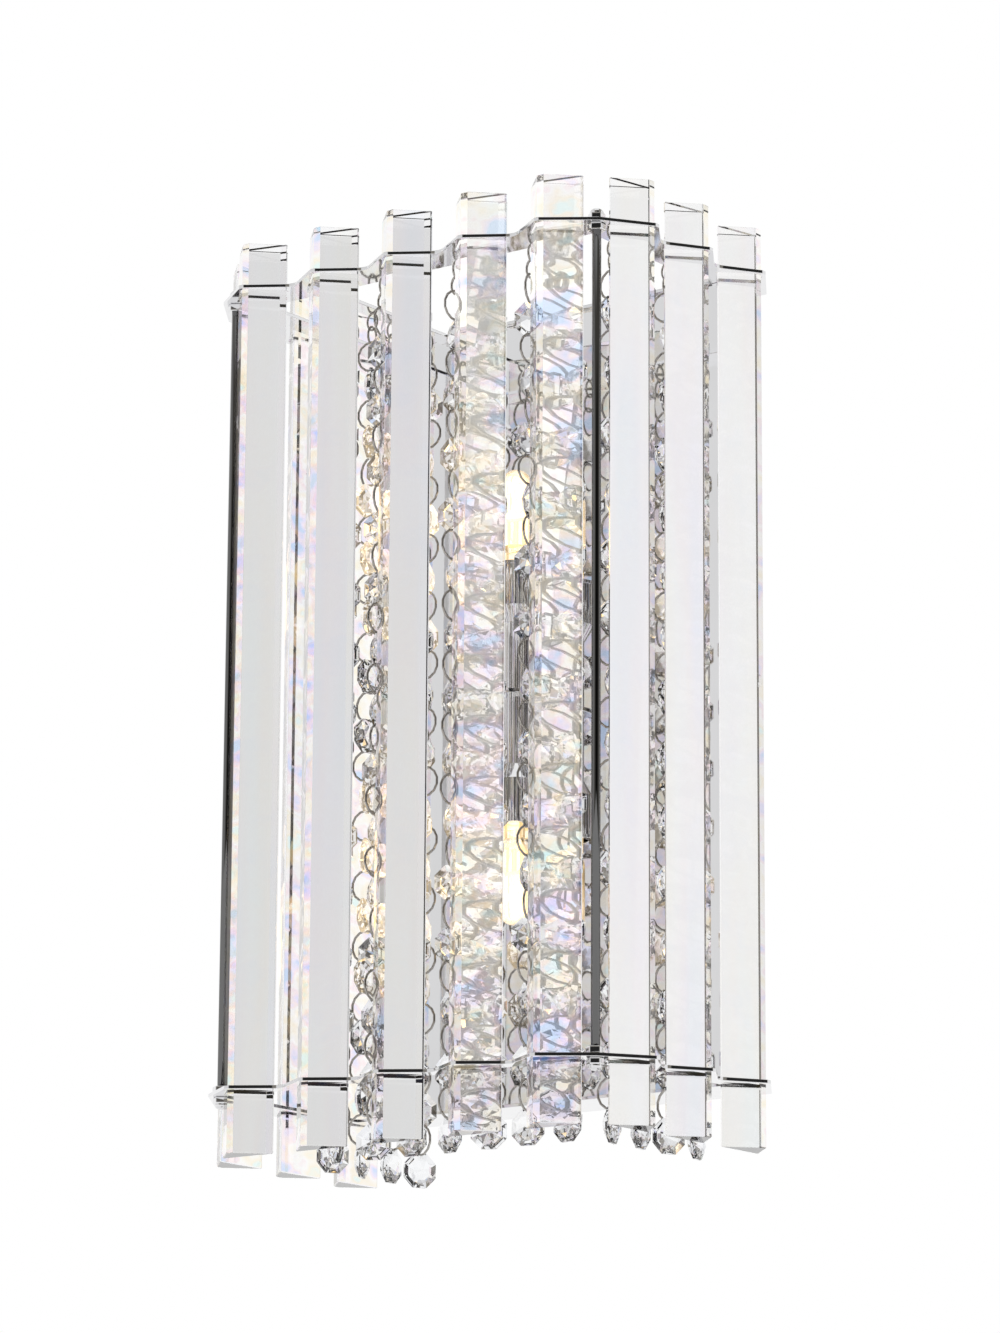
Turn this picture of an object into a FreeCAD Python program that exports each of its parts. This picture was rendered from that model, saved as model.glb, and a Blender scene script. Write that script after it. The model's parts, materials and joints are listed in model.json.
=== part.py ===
"""Crystal wall sconce: a back box on a wall bracket, two chromed saw-tooth frames that hold clear
right-angle prism bars upright round three sides, and strands of octagon crystals that hang inside
them round two capsule lamps.  Millimetres, +Z up, the wall is the plane Y = 0, the front faces -Y,
and the origin is the middle of the wall bracket."""

import FreeCAD, Part
import math
import os

from FreeCAD import Vector

# ---- driving dimensions -----------------------------------------------------------------------

# prism bars
bar_length = 400.0
bar_leg = 20.0               # width of each of the two outer faces before the tip is cut
bar_tip_flat = 3.5
bar_edge_flat = 0.6
bar_end_bevel = 0.4
bar_back_inset = 0.8         # back face of a bar inside the corner line
bar_overhang_top = 20.5      # above the mid plane of the top frame
bar_overhang_bottom = 27.5   # below the mid plane of the bottom frame
seat_clearance = 0.5         # round a bar in the top frame; the bottom frame's seats grip it

# frames
sheet = 1.5                  # thickness of the frame sheet
corner_half_width = 102.0    # half the distance between the two front corners
corner_depth = 127.0         # wall to the front corners
corner_to_tooth = 22.0       # from a front corner to the middle of the nearest tooth
wall_to_tooth = 25.0         # from the wall to the middle of a side's last tooth
front_teeth = 5
side_teeth = 3
tooth_height = 15.2          # tooth tip outside the line through the corners
valley_height = 2.3          # bottom of the notch between teeth outside that line
tooth_flat = 2.4             # width of the blunted tip of a tooth
notch_round = 6.0            # radius of the notch between two teeth
notch_facets = 4
top_band = 13.5              # width of the top frame inside the corner line
bottom_band = 4.0            # width of the bottom frame inside the corner line
corner_web = 13.0            # legs of the web across each inner front corner
rear_strip = 30.0            # depth of the strip that lies on the back box
rear_tooth_end = 1.0         # the last leg of a side ends this far inside the corner line

# corner rods and their nuts
rod_diameter = 4.0
rod_inset = 4.0
rod_sides = 12               # the rods and small round pieces are drawn with flat facets
cap_nut_width = 6.5
cap_nut_height = 2.4
lock_nut_width = 7.0
lock_nut_height = 3.2
rod_end_gap = 0.5            # from the end of a rod to the crown of its cap nut

# back box and wall bracket
box_side_gap = 8.0           # from each side of the box to the corner line
box_depth = 27.0
box_wall = 1.2
bracket_height = 24.0
bracket_sheet = 2.0
bracket_ear = 16.0           # length of the ears bent forward at each end
bracket_gap = 0.3            # between the ears and the inside of the box
wall_slot_spacing = 100.0
wall_slot_length = 14.0
wall_slot_width = 4.6

# screws, all alike
screw_diameter = 3.0
screw_length = 6.0
screw_head_diameter = 6.0
screw_head_height = 2.2
screw_sides = 6
box_screw_spacing = 150.0    # between the two screws in each rear strip
box_screw_from_wall = 15.0
ear_screw_from_wall = 10.0

# lamps
lamp_reach = 47.0            # wall to the lamp axis
lamp_bracket_width = 18.0
lamp_bracket_sheet = 2.0
lamp_bracket_flange = 34.0
lamp_bracket_nose = 12.0     # bracket beyond the lamp axis
flange_screw_spacing = 22.0
lamp_sides = 10              # facets round the lampholders and lamps
nipple_diameter = 9.5
holder_stem_diameter = 13.0
holder_stem_length = 30.0
holder_cup_diameter = 22.0
holder_cup_length = 27.0
holder_taper = 7.0
holder_recess_diameter = 17.0
holder_recess_depth = 6.0
holder_collar = 1.6          # height of the lip round the cup's mouth
holder_lip = 0.8             # how far the lip stands out
bulb_diameter = 14.0
bulb_glass = 1.0
bulb_length = 36.0           # glass capsule from the pinch to its tip
pinch_width = 12.0
pinch_thickness = 4.6
pinch_length = 13.0
pinch_gap = 0.3              # from the pinch to the floor of the recess
pin_diameter = 1.4
pin_spacing = 8.0
pin_length = 7.0
pin_socket_clearance = 0.25
filament_diameter = 2.2
filament_height = 10.0
filament_rise = 12.0         # from the top of the pinch to the filament

# terminal block in the back box
terminal_length = 30.0
terminal_height = 17.0
terminal_depth = 14.0
terminal_ways = 3
terminal_bore = 3.4
terminal_drop = 60.0         # below the middle of the box

# strands
front_strands = 7            # behind and between the teeth, from the right corner
side_strands = 4
strand_inset = 10.0          # the three rows inside the corner line
side_strand_start = 24.0     # first strand of a side row behind the front corner line
box_to_strand = 16.0         # last strand of a side row in front of the box
left_row_inset = 49.0        # the left row hangs from its own rail, further inside
crystals_per_strand = 14
crystal_width = 16.0         # across the points of the octagon
crystal_thickness = 7.0
crystal_hole_spacing = 13.0
crystal_period = 26.4
ring_wire = 1.1
ring_sides = 4               # even, so that a ring has a corner at its top and at its foot
ring_play = 0.45             # between a ring or link and the wire it hangs on
link_height = 8.5            # link between the eye and the first ring, to the wire's middle
eye_height = 8.4             # wire eye under the band that each strand hangs from
eye_wire = 1.0
eye_sink = 0.3               # depth of an eye in the sheet it is soldered to
rail_width = 9.0
rail_lap = 10.0              # overlap of the rail on the front band

# ---- places worked out from them --------------------------------------------------------------

half_spacing = (bar_length - bar_overhang_top - bar_overhang_bottom) / 2
half_sheet = sheet / 2
top_face = half_spacing + half_sheet
under_top = half_spacing - half_sheet
bar_top = half_spacing + bar_overhang_top
hypotenuse = bar_leg * math.sqrt(2)
box_width = 2 * (corner_half_width - box_side_gap)
box_front = -box_depth
front_line = -corner_depth
front_pitch = 2 * (corner_half_width - corner_to_tooth) / (front_teeth - 1)
side_pitch = (corner_depth - corner_to_tooth - wall_to_tooth) / (side_teeth - 1)
side_row_length = corner_depth - side_strand_start - box_to_strand - box_depth
lamp_y = -lamp_reach
ring_height = crystal_period - crystal_hole_spacing
link_top = -eye_height + eye_wire + ring_play + ring_wire / 2
ring_top = link_top - link_height + ring_wire + ring_play


# ---- helpers ----------------------------------------------------------------------------------

def save(name, *solids):
    """Write one sub-part, made of one or more separate solids."""
    shape = solids[0] if len(solids) == 1 else Part.makeCompound(list(solids))
    shape.exportStep("parts/" + name + ".step")


def prism(points, height, base=0.0):
    """Upright prism over a closed outline of (x, y) points."""
    corners = [Vector(x, y, base) for x, y in points]
    wire = Part.makePolygon(corners + corners[:1])
    return Part.Face(wire).extrude(Vector(0, 0, height))


def block(low, high):
    """Box between two opposite corners."""
    size = [high[i] - low[i] for i in range(3)]
    return Part.makeBox(size[0], size[1], size[2], Vector(*low))


def revolved(profile, sides):
    """Faceted solid of revolution about Z; the (radius, z) profile starts and ends on the axis."""
    rings = []
    for radius, z in profile:
        if radius == 0:
            rings.append([Vector(0, 0, z)] * sides)
        else:
            angles = [2 * math.pi * (i + 0.5) / sides for i in range(sides)]
            rings.append([Vector(radius * math.cos(a), radius * math.sin(a), z) for a in angles])
    faces = []
    for low, high in zip(rings, rings[1:]):
        for i in range(sides):
            n = (i + 1) % sides
            corners = [low[i], low[n], high[n], high[i]]
            if low[i] == low[n]:
                corners = [low[i], high[n], high[i]]
            if high[i] == high[n]:
                corners = [low[i], low[n], high[i]]
            faces.append(Part.Face(Part.makePolygon(corners + corners[:1])))
    return Part.Solid(Part.makeShell(faces))


def rounded(radius, height, base, sides):
    """Faceted cylinder on the Z axis."""
    angles = [2 * math.pi * (i + 0.5) / sides for i in range(sides)]
    return prism([(radius * math.cos(a), radius * math.sin(a)) for a in angles], height, base)


def turned(shape, degrees, axis=Vector(0, 0, 1)):
    copy = shape.copy()
    copy.rotate(Vector(), axis, degrees)
    return copy


def moved(shape, x=0.0, y=0.0, z=0.0):
    copy = shape.copy()
    copy.translate(Vector(x, y, z))
    return copy


def faced_down(shape):
    """The same piece upside down on the other side of the middle plane."""
    return turned(shape, 180, Vector(0, 1, 0))


def on_front(u, out=0.0):
    """Point on the front wing: u to the right of its middle, out in front of the corner line."""
    return (u, front_line - out)


def on_side(hand, back, out=0.0):
    """Point on a side wing: hand +1 is the right, back is behind the front corner line."""
    return (hand * (corner_half_width + out), front_line + back)


def front_places():
    """Middles of the front teeth, left to right."""
    first = -corner_half_width + corner_to_tooth
    return [first + front_pitch * i for i in range(front_teeth)]


def side_places():
    """Middles of the side teeth, front to back."""
    return [corner_to_tooth + side_pitch * i for i in range(side_teeth)]


# ---- prism bars -------------------------------------------------------------------------------

def bar_section(grow=0.0):
    """Outline of a bar, tip towards -Y, its back face on Y = 0; grow moves every face outward."""
    half = hypotenuse / 2
    side = half - bar_edge_flat + grow
    shoulder = -bar_edge_flat - grow * (math.sqrt(2) - 1)
    flat = bar_tip_flat / 2 + grow * (math.sqrt(2) - 1)
    tip = -(half - bar_tip_flat / 2) - grow
    return [(-side, grow), (side, grow), (side, shoulder), (flat, tip), (-flat, tip), (-side, shoulder)]


def outline(points, height):
    """Closed wire over (x, y) points at one height."""
    corners = [Vector(x, y, height) for x, y in points]
    return Part.makePolygon(corners + corners[:1])


def bar():
    """One clear bar with a fine bevel round both cut ends."""
    foot = bar_top - bar_length
    levels = [(foot, -bar_end_bevel), (foot + bar_end_bevel, 0), (bar_top - bar_end_bevel, 0),
              (bar_top, -bar_end_bevel)]
    return Part.makeLoft([outline(bar_section(grow), height) for height, grow in levels], True, True)


def seats():
    """(name, move) for every bar: how a bar standing at the origin goes to its seat."""
    places = []
    for number, u in enumerate(front_places(), 1):
        x, y = on_front(u, -bar_back_inset)
        places.append(("bar_front_%d" % number, 0, x, y))
    for word, hand in (("left", -1), ("right", 1)):
        for number, back in enumerate(side_places(), 1):
            x, y = on_side(hand, back, -bar_back_inset)
            places.append(("bar_%s_%d" % (word, number), 90 * hand, x, y))
    return places


def seat_all(shape):
    return [moved(turned(shape, angle), x, y) for _, angle, x, y in seats()]


# ---- frames -----------------------------------------------------------------------------------

def tooth_outline():
    """Saw-tooth outline of a frame, from the left rear corner round the front to the right rear."""
    front = wing_outline([u + corner_half_width for u in front_places()], front_pitch)
    front = [on_front(u - corner_half_width, out) for u, out in front]
    side = wing_outline(side_places(), side_pitch)
    right = [on_side(1, back, out) for back, out in side]
    left = [on_side(-1, back, out) for back, out in reversed(side)]
    corner = [on_side(1, 0)]
    end = [on_side(1, corner_depth, -rear_tooth_end)]
    return [(-x, y) for x, y in end] + left + [(-x, y) for x, y in corner] + front + corner + right + end


def wing_outline(places, pitch):
    """Blunted teeth at these places along a wing and rounded notches between them, as (along, out)."""
    half = pitch / 2
    slope = math.atan2(tooth_height - valley_height, half)
    points = []
    for i, place in enumerate(places):
        if i:
            centre = valley_height + notch_round / math.cos(slope)
            for k in range(notch_facets + 1):
                turn = slope * (2 * k / notch_facets - 1)
                along = place - half + notch_round * math.sin(turn)
                points.append((along, centre - notch_round * math.cos(turn)))
        drop = tooth_flat / 2 * math.tan(slope)
        points.append((place - tooth_flat / 2, tooth_height - drop))
        points.append((place + tooth_flat / 2, tooth_height - drop))
    return points


def frame_opening(band):
    """Open middle of a frame, with webs across the two front corners."""
    half = corner_half_width - band
    front = front_line + band
    back = -rear_strip
    web = max(corner_web - band, 0.5)
    return [(-half, front + web), (-half + web, front), (half - web, front),
            (half, front + web), (half, back), (-half, back)]


def rod_places():
    offset = corner_half_width - rod_inset
    return [(hand * offset, front_line + rod_inset) for hand in (-1, 1)]


def strip_screw_places():
    return [(hand * box_screw_spacing / 2, -box_screw_from_wall) for hand in (-1, 1)]


def frame(band, height_centre, clearance):
    """One saw-tooth sheet with its bar seats, rod holes and screw holes."""
    base = height_centre - half_sheet
    plate = prism(tooth_outline(), sheet, base)
    cuts = [prism(frame_opening(band), sheet, base)]
    cuts += seat_all(prism(bar_section(clearance), sheet, base))
    cuts += [moved(rounded(rod_diameter / 2, sheet, base, rod_sides), x, y) for x, y in rod_places()]
    cuts += [moved(rounded(screw_diameter / 2, sheet, base, screw_sides), x, y)
             for x, y in strip_screw_places()]
    return plate.cut(Part.makeCompound(cuts))


def top_frame():
    """The upper frame, with the eyes that the front and right strands hang from."""
    plate = frame(top_band, half_spacing, seat_clearance)
    return plate.multiFuse(eyes_under(under_top))


# ---- rods and nuts ----------------------------------------------------------------------------

def rods():
    reach = top_face + cap_nut_height - rod_end_gap
    return [moved(rounded(rod_diameter / 2, 2 * reach, -reach, rod_sides), x, y) for x, y in rod_places()]


def cap_nut():
    """Domed nut on the outer face of the top frame, with the blind hole the rod ends in."""
    width = cap_nut_width / math.sqrt(3)
    top = top_face + cap_nut_height
    body = revolved([(0, top_face), (width, top_face), (width, top), (width * 0.8, top + width * 0.45),
                     (width * 0.4, top + width * 0.7), (0, top + width * 0.75)], 6)
    return body.cut(rounded(rod_diameter / 2, cap_nut_height - rod_end_gap, top_face, rod_sides))


def lock_nut():
    """Plain nut under the top frame."""
    base = under_top - lock_nut_height
    nut = rounded(lock_nut_width / math.sqrt(3), lock_nut_height, base, 6)
    return nut.cut(rounded(rod_diameter / 2, lock_nut_height, base, rod_sides))


def nut_set(nut):
    """A nut at both ends of both rods."""
    both = [nut, faced_down(nut)]
    return [moved(n, x, y) for x, y in rod_places() for n in both]


# ---- back box, bracket and screws -------------------------------------------------------------

def screw():
    """Pan-head screw pointing down, the underside of its head on Z = 0."""
    rim = screw_head_diameter / 2
    shank = screw_diameter / 2
    return revolved([(0, -screw_length), (shank, -screw_length), (shank, 0), (rim, 0),
                     (rim * 0.8, screw_head_height), (0, screw_head_height)], screw_sides)


def ear_screw(hand):
    """Screw through a side of the box into an ear of the wall bracket."""
    across = turned(screw(), 90 * hand, Vector(0, 1, 0))
    return moved(across, hand * box_width / 2, -ear_screw_from_wall, 0)


def flange_screw(side):
    """Screw through the lamp bracket's flange into the front of the box."""
    forward = turned(screw(), 90, Vector(1, 0, 0))
    return moved(forward, 0, box_front - lamp_bracket_sheet, side * flange_screw_spacing / 2)


def screws():
    upper = [moved(screw(), x, y, top_face) for x, y in strip_screw_places()]
    lower = [moved(faced_down(screw()), x, y, -top_face) for x, y in strip_screw_places()]
    return upper + lower + [ear_screw(hand) for hand in (-1, 1)] + [flange_screw(s) for s in (-1, 1)]


def back_box():
    """Folded sheet cover, open towards the wall, with holes for its screws."""
    half = box_width / 2
    outer = block((-half, box_front, -under_top), (half, 0, under_top))
    inner = block((-half + box_wall, box_front + box_wall, -under_top + box_wall),
                  (half - box_wall, 0, under_top - box_wall))
    return outer.cut(inner).cut(Part.makeCompound(screws()))


def wall_bracket():
    """Strip on the wall with two slots and an ear bent forward at each end."""
    half = box_width / 2 - box_wall - bracket_gap
    low = bracket_height / 2
    plate = block((-half, -bracket_sheet, -low), (half, 0, low))
    ears = [block((min(hand * half, hand * (half - bracket_sheet)), -bracket_ear, -low),
                  (max(hand * half, hand * (half - bracket_sheet)), 0, low)) for hand in (-1, 1)]
    body = plate.multiFuse(ears).removeSplitter()
    slots = [wall_slot(hand * wall_slot_spacing / 2) for hand in (-1, 1)]
    return body.cut(Part.makeCompound(slots + [ear_screw(hand) for hand in (-1, 1)]))


def wall_slot(x):
    """Round-ended slot along X through the strip."""
    radius = wall_slot_width / 2
    reach = wall_slot_length / 2 - radius
    middle = block((x - reach, -bracket_sheet, -radius), (x + reach, 0, radius))
    ends = [Part.makeCylinder(radius, bracket_sheet, Vector(x + side * reach, 0, 0), Vector(0, -1, 0))
            for side in (-1, 1)]
    return middle.multiFuse(ends).removeSplitter()


def terminal_block():
    """Block with a row of through bores and a tunnel between each two, on the inside of the box."""
    back = box_front + box_wall
    half = terminal_length / 2
    centre = -terminal_drop
    low = centre - terminal_height / 2
    body = block((-half, back, low), (half, back + terminal_depth, low + terminal_height))
    way = terminal_length / terminal_ways
    cuts = []
    for i in range(terminal_ways):
        x = -half + way * (i + 0.5)
        bore = rounded(terminal_bore / 2, terminal_height, low, screw_sides)
        cuts.append(moved(bore, x, back + terminal_depth / 2))
        if i:
            edge = x - way / 2
            cuts.append(block((edge - terminal_bore / 4, back + terminal_depth * 0.6, low),
                              (edge + terminal_bore / 4, back + terminal_depth, low + terminal_height)))
    return body.cut(Part.makeCompound(cuts))


# ---- lamps ------------------------------------------------------------------------------------

def lamp_bracket():
    """Strip bent to a T: a flange on the box and a round-nosed shelf with the nipple hole."""
    half = lamp_bracket_width / 2
    low = lamp_bracket_flange / 2
    thick = lamp_bracket_sheet / 2
    flange = block((-half, box_front - lamp_bracket_sheet, -low), (half, box_front, low))
    nose = lamp_y - lamp_bracket_nose + half
    turns = [math.radians(a) for a in range(0, 181, 30)]
    arc = [(-half * math.cos(turn), nose - half * math.sin(turn)) for turn in turns]
    root = box_front - lamp_bracket_sheet
    shelf = prism([(-half, root)] + arc + [(half, root)], lamp_bracket_sheet, -thick)
    nipple = moved(rounded(nipple_diameter / 2, lamp_bracket_sheet, -thick, lamp_sides), 0, lamp_y)
    return flange.fuse(shelf).cut(Part.makeCompound([nipple] + [flange_screw(s) for s in (-1, 1)]))


def holder_mouth():
    return lamp_bracket_sheet / 2 + holder_stem_length + holder_cup_length


def lampholder(nipple):
    """Stem and cup of a lampholder above the bracket, with the pin sockets in its floor."""
    base = lamp_bracket_sheet / 2
    stem = holder_stem_diameter / 2
    shoulder = base + holder_stem_length
    mouth = holder_mouth()
    cup = holder_cup_diameter / 2
    lip = cup + holder_lip
    recess = holder_recess_diameter / 2
    floor = mouth - holder_recess_depth
    foot = [(0, base), (stem, base)]
    if nipple:
        foot = [(0, -base), (nipple_diameter / 2, -base), (nipple_diameter / 2, base), (stem, base)]
    body = revolved(foot + [(stem, shoulder), (cup, shoulder + holder_taper), (cup, mouth - holder_collar),
                            (lip, mouth - holder_collar), (lip, mouth), (recess, mouth), (recess, floor),
                            (0, floor)], lamp_sides)
    depth = pin_length + pin_socket_clearance
    socket = rounded(pin_diameter / 2 + pin_socket_clearance, depth, floor - depth, 6)
    sockets = [moved(socket, side * pin_spacing / 2) for side in (-1, 1)]
    return moved(body.cut(Part.makeCompound(sockets)), 0, lamp_y)


def pinch_base():
    return holder_mouth() - holder_recess_depth + pinch_gap


def bulb_glass_body():
    """Hollow capsule on a flat pinched base."""
    base = pinch_base()
    neck = base + pinch_length
    tip = neck + bulb_length
    radius = bulb_diameter / 2
    inner = radius - bulb_glass
    outside = revolved([(0, neck - 2), (radius * 0.6, neck - 2), (radius, neck + 3),
                        (radius, tip - radius), (radius * 0.75, tip - radius * 0.35),
                        (radius * 0.25, tip - 1), (0, tip)], lamp_sides)
    hollow = revolved([(0, neck + 1), (inner * 0.6, neck + 1), (inner, neck + 4), (inner, tip - radius),
                       (inner * 0.75, tip - radius * 0.45), (0, tip - bulb_glass * 2)], lamp_sides)
    flat = pinch_thickness / 2
    pinch = block((-pinch_width / 2, -flat, base), (pinch_width / 2, flat, neck))
    pins = [pin_wire(side) for side in (-1, 1)]
    return moved(outside.fuse(pinch).cut(hollow).cut(Part.makeCompound(pins)), 0, lamp_y)


def pin_wire(side):
    """One leg of a lamp: contact pin below, filament support above."""
    base = pinch_base() - pin_length
    top = pinch_base() + pinch_length + filament_rise
    return moved(rounded(pin_diameter / 2, top - base, base, 6), side * pin_spacing / 2)


def bulb_wires():
    """Two legs and the filament held across their tops."""
    top = pinch_base() + pinch_length + filament_rise
    reach = pin_spacing / 2 + pin_diameter / 2
    bridge = block((-reach, -pin_diameter / 2, top), (reach, pin_diameter / 2, top + pin_diameter))
    coil = rounded(filament_diameter / 2, filament_height, top - filament_height, 6)
    return moved(pin_wire(-1).multiFuse([pin_wire(1), bridge, coil]), 0, lamp_y)


# ---- strands ----------------------------------------------------------------------------------

def crystal(height):
    """Octagon crystal, faceted to a point on both sides, standing in the XZ plane."""
    radius = crystal_width / 2
    rim = [Vector(radius * math.cos(math.radians(22.5 + 45 * i)), 0,
                  height + radius * math.sin(math.radians(22.5 + 45 * i))) for i in range(8)]
    faces = []
    for side in (-1, 1):
        point = Vector(0, side * crystal_thickness / 2, height)
        for i in range(8):
            a, b = rim[i], rim[(i + 1) % 8]
            faces.append(Part.Face(Part.makePolygon([a, b, point, a])))
    return Part.Solid(Part.makeShell(faces))


def wire_loop(top, height, wire):
    """Closed loop of wire in the YZ plane, of a three-sided section; top and height are those of
    the wire's middle line."""
    radius = height / 2
    centre = top - radius
    rings = []
    for i in range(ring_sides):
        angle = 2 * math.pi * i / ring_sides
        section = []
        for k in range(3):
            turn = 2 * math.pi * k / 3
            reach = radius + wire / 2 * math.cos(turn)
            section.append(Vector(wire / 2 * math.sin(turn), reach * math.sin(angle),
                                  centre + reach * math.cos(angle)))
        rings.append(section)
    faces = []
    for i in range(ring_sides):
        a, b = rings[i], rings[(i + 1) % ring_sides]
        for k in range(3):
            n = (k + 1) % 3
            faces.append(Part.Face(Part.makePolygon([a[k], a[n], b[n], a[k]])))
            faces.append(Part.Face(Part.makePolygon([a[k], b[n], b[k], a[k]])))
    return Part.Solid(Part.makeShell(faces))


def eyes_under(underside):
    """Wire eyes soldered under the sheet with this underside, one for each strand hung there."""
    eye = wire_loop(eye_sink - eye_wire / 2, eye_height + eye_sink - eye_wire, eye_wire)
    return [moved(turned(eye, angle), x, y, underside)
            for _, angle, x, y, under in strand_places() if under == underside]


def hole_height(number):
    """Upper hole of a crystal, counted from the top, below the underside the strand hangs from."""
    return ring_top - ring_height - crystal_period * number


def strand_crystals():
    return [crystal(hole_height(n) - crystal_hole_spacing / 2) for n in range(crystals_per_strand)]


def strand_rings():
    """The link that hangs in the eye, and below it a ring above each crystal, turned across it."""
    link = turned(wire_loop(link_top, link_height, ring_wire), 90)
    return [link] + [wire_loop(hole_height(n) + ring_height, ring_height, ring_wire)
                     for n in range(crystals_per_strand)]


def strand_places():
    """(name, angle, x, y, underside): the front row, the right row and the left row on its rail."""
    places = []
    start = corner_half_width - corner_to_tooth
    for i in range(front_strands):
        x, y = on_front(start - front_pitch / 2 * i, -strand_inset)
        places.append(("strand_front_%d" % (front_strands - i), 0, x, y, under_top))
    rows = (("left", -1, left_row_inset, under_top - sheet), ("right", 1, strand_inset, under_top))
    for word, hand, inset, underside in rows:
        for i in range(side_strands):
            back = side_strand_start + side_row_length * i / (side_strands - 1)
            x, y = on_side(hand, back, -inset)
            places.append(("strand_%s_%d" % (word, i + 1), 90 * hand, x, y, underside))
    return places


def strand_rail():
    """Flat rail from the front band to the rear strip, under the top frame, for the left row."""
    x = -corner_half_width + left_row_inset
    front = front_line + top_band - rail_lap
    base = under_top - sheet
    body = block((x - rail_width / 2, front, base), (x + rail_width / 2, box_front, under_top))
    return body.multiFuse(eyes_under(base))


# ---- write the sub-parts ----------------------------------------------------------------------

os.makedirs("parts", exist_ok=True)

save("wall_bracket", wall_bracket())
save("back_box", back_box())
save("terminal_block", terminal_block())
save("screws", *screws())

save("top_frame", top_frame())
save("bottom_frame", frame(bottom_band, -half_spacing, 0.0))
save("corner_rods", *rods())
save("cap_nuts", *nut_set(cap_nut()))
save("lock_nuts", *nut_set(lock_nut()))
save("strand_rail", strand_rail())

plain_bar = bar()
for name, angle, x, y in seats():
    save(name, moved(turned(plain_bar, angle), x, y))

save("lamp_bracket", lamp_bracket())
save("lampholder_upper", lampholder(True))
save("lampholder_lower", faced_down(lampholder(False)))
save("bulb_upper_glass", bulb_glass_body())
save("bulb_upper_wires", bulb_wires())
save("bulb_lower_glass", faced_down(bulb_glass_body()))
save("bulb_lower_wires", faced_down(bulb_wires()))

crystals = Part.makeCompound(strand_crystals())
loops = Part.makeCompound(strand_rings())
for name, angle, x, y, under in strand_places():
    save(name + "_crystals", moved(turned(crystals, angle), x, y, under))
    save(name + "_rings", moved(turned(loops, angle), x, y, under))
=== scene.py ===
"""Looks of the crystal wall sconce: clear prism bars in chromed saw-tooth frames, strands of octagon
crystals and two capsule lamps, in metres, with the wall as the plane Y = 0 and the front facing -Y."""

import json
import math

import bmesh
import bpy
from bpy.props import FloatProperty, FloatVectorProperty, IntProperty, PointerProperty
from mathutils import Matrix, Vector

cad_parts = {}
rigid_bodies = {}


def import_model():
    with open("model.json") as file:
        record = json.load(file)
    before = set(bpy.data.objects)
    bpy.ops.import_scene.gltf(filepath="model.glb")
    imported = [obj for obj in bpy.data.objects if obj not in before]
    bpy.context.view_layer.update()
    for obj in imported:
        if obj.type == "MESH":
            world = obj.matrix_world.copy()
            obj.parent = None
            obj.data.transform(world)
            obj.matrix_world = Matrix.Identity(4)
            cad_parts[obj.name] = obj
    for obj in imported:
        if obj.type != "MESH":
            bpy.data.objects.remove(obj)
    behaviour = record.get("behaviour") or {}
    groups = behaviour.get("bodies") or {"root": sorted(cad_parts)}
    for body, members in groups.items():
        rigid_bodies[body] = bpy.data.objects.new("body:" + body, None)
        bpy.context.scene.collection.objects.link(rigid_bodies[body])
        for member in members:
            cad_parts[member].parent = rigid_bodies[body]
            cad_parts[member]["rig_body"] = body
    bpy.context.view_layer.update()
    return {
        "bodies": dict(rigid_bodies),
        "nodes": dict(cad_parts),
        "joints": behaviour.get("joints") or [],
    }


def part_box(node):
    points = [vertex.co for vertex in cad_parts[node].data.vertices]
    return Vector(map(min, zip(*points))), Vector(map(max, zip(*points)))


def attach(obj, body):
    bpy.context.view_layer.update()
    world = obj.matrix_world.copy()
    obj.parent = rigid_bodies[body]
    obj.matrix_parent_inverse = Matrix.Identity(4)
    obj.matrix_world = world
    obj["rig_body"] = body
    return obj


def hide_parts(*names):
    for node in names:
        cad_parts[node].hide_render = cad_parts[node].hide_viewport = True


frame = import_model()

bl_info = {
    "name": "Crystal Wall Sconce",
    "version": (1, 0, 0),
    "blender": (4, 5, 0),
    "location": "3D View > Sidebar > Sconce",
    "description": "Builds the glass, crystal, chrome and lamps of a wall sconce round its packed frame",
    "category": "Object",
}

BARS = sorted(name for name in frame["nodes"] if name.startswith("bar_"))
STRANDS = sorted(name for name in frame["bodies"] if name.startswith("strand_"))
SWINGS = {joint["child"]: joint for joint in frame["joints"]}
TOP_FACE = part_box("top_frame")[1].z
FACET_FIT = math.cos(math.pi / 10)   # width of the frame's ten-sided lamps as a share of a round one's
WHITE = (1.0, 1.0, 1.0, 1.0)
MADE = {}   # finishes made so far

# bars of glass with a lower index, which show the strands behind them where the others flash white, and which
# a stronger painted sheen makes lighter
STRAND_SHOWING_BARS = ("bar_front_4", "bar_front_5")

# metal finishes: colour, smoothest and roughest, then ripple and fineness if they aren't the usual ones
CHROME = ("chrome", 0.03, 0.07, 0.02)   # of frames, fasteners and lamps, which share one look
METALS = {
    # rod colour painted dark: a painted reflection of dark surroundings in the rods' chrome
    "rod_chrome": ("rod", 0.03, 0.07),
    "wire": ("wire", 0.08, 0.16),
    "lamp_wire": ("lamp_wire", 0.2, 0.3),
    "box_mirror": ("mirror", 0.01, 0.04, 0.02, 30.0),
    "zinc_steel": ("zinc", 0.3, 0.45, 0.2, 400.0),
}

# soft boxes in a dim warm room: azimuth from the front, elevation, inner and outer half angle, brightness
ROOM = (0.24, 0.225, 0.2)
SOFT_BOXES = (
    (52, 13, 28, 36, 0.02),
    (-142, 8, 44, 56, 1.0),
    (-94, 8, 34, 44, 1.0),
    (142, 13, 20, 34, 0.94),
    (-38, 12, 24, 46, 0.79),
    (0, 82, 22, 34, 1.0),
)

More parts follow.
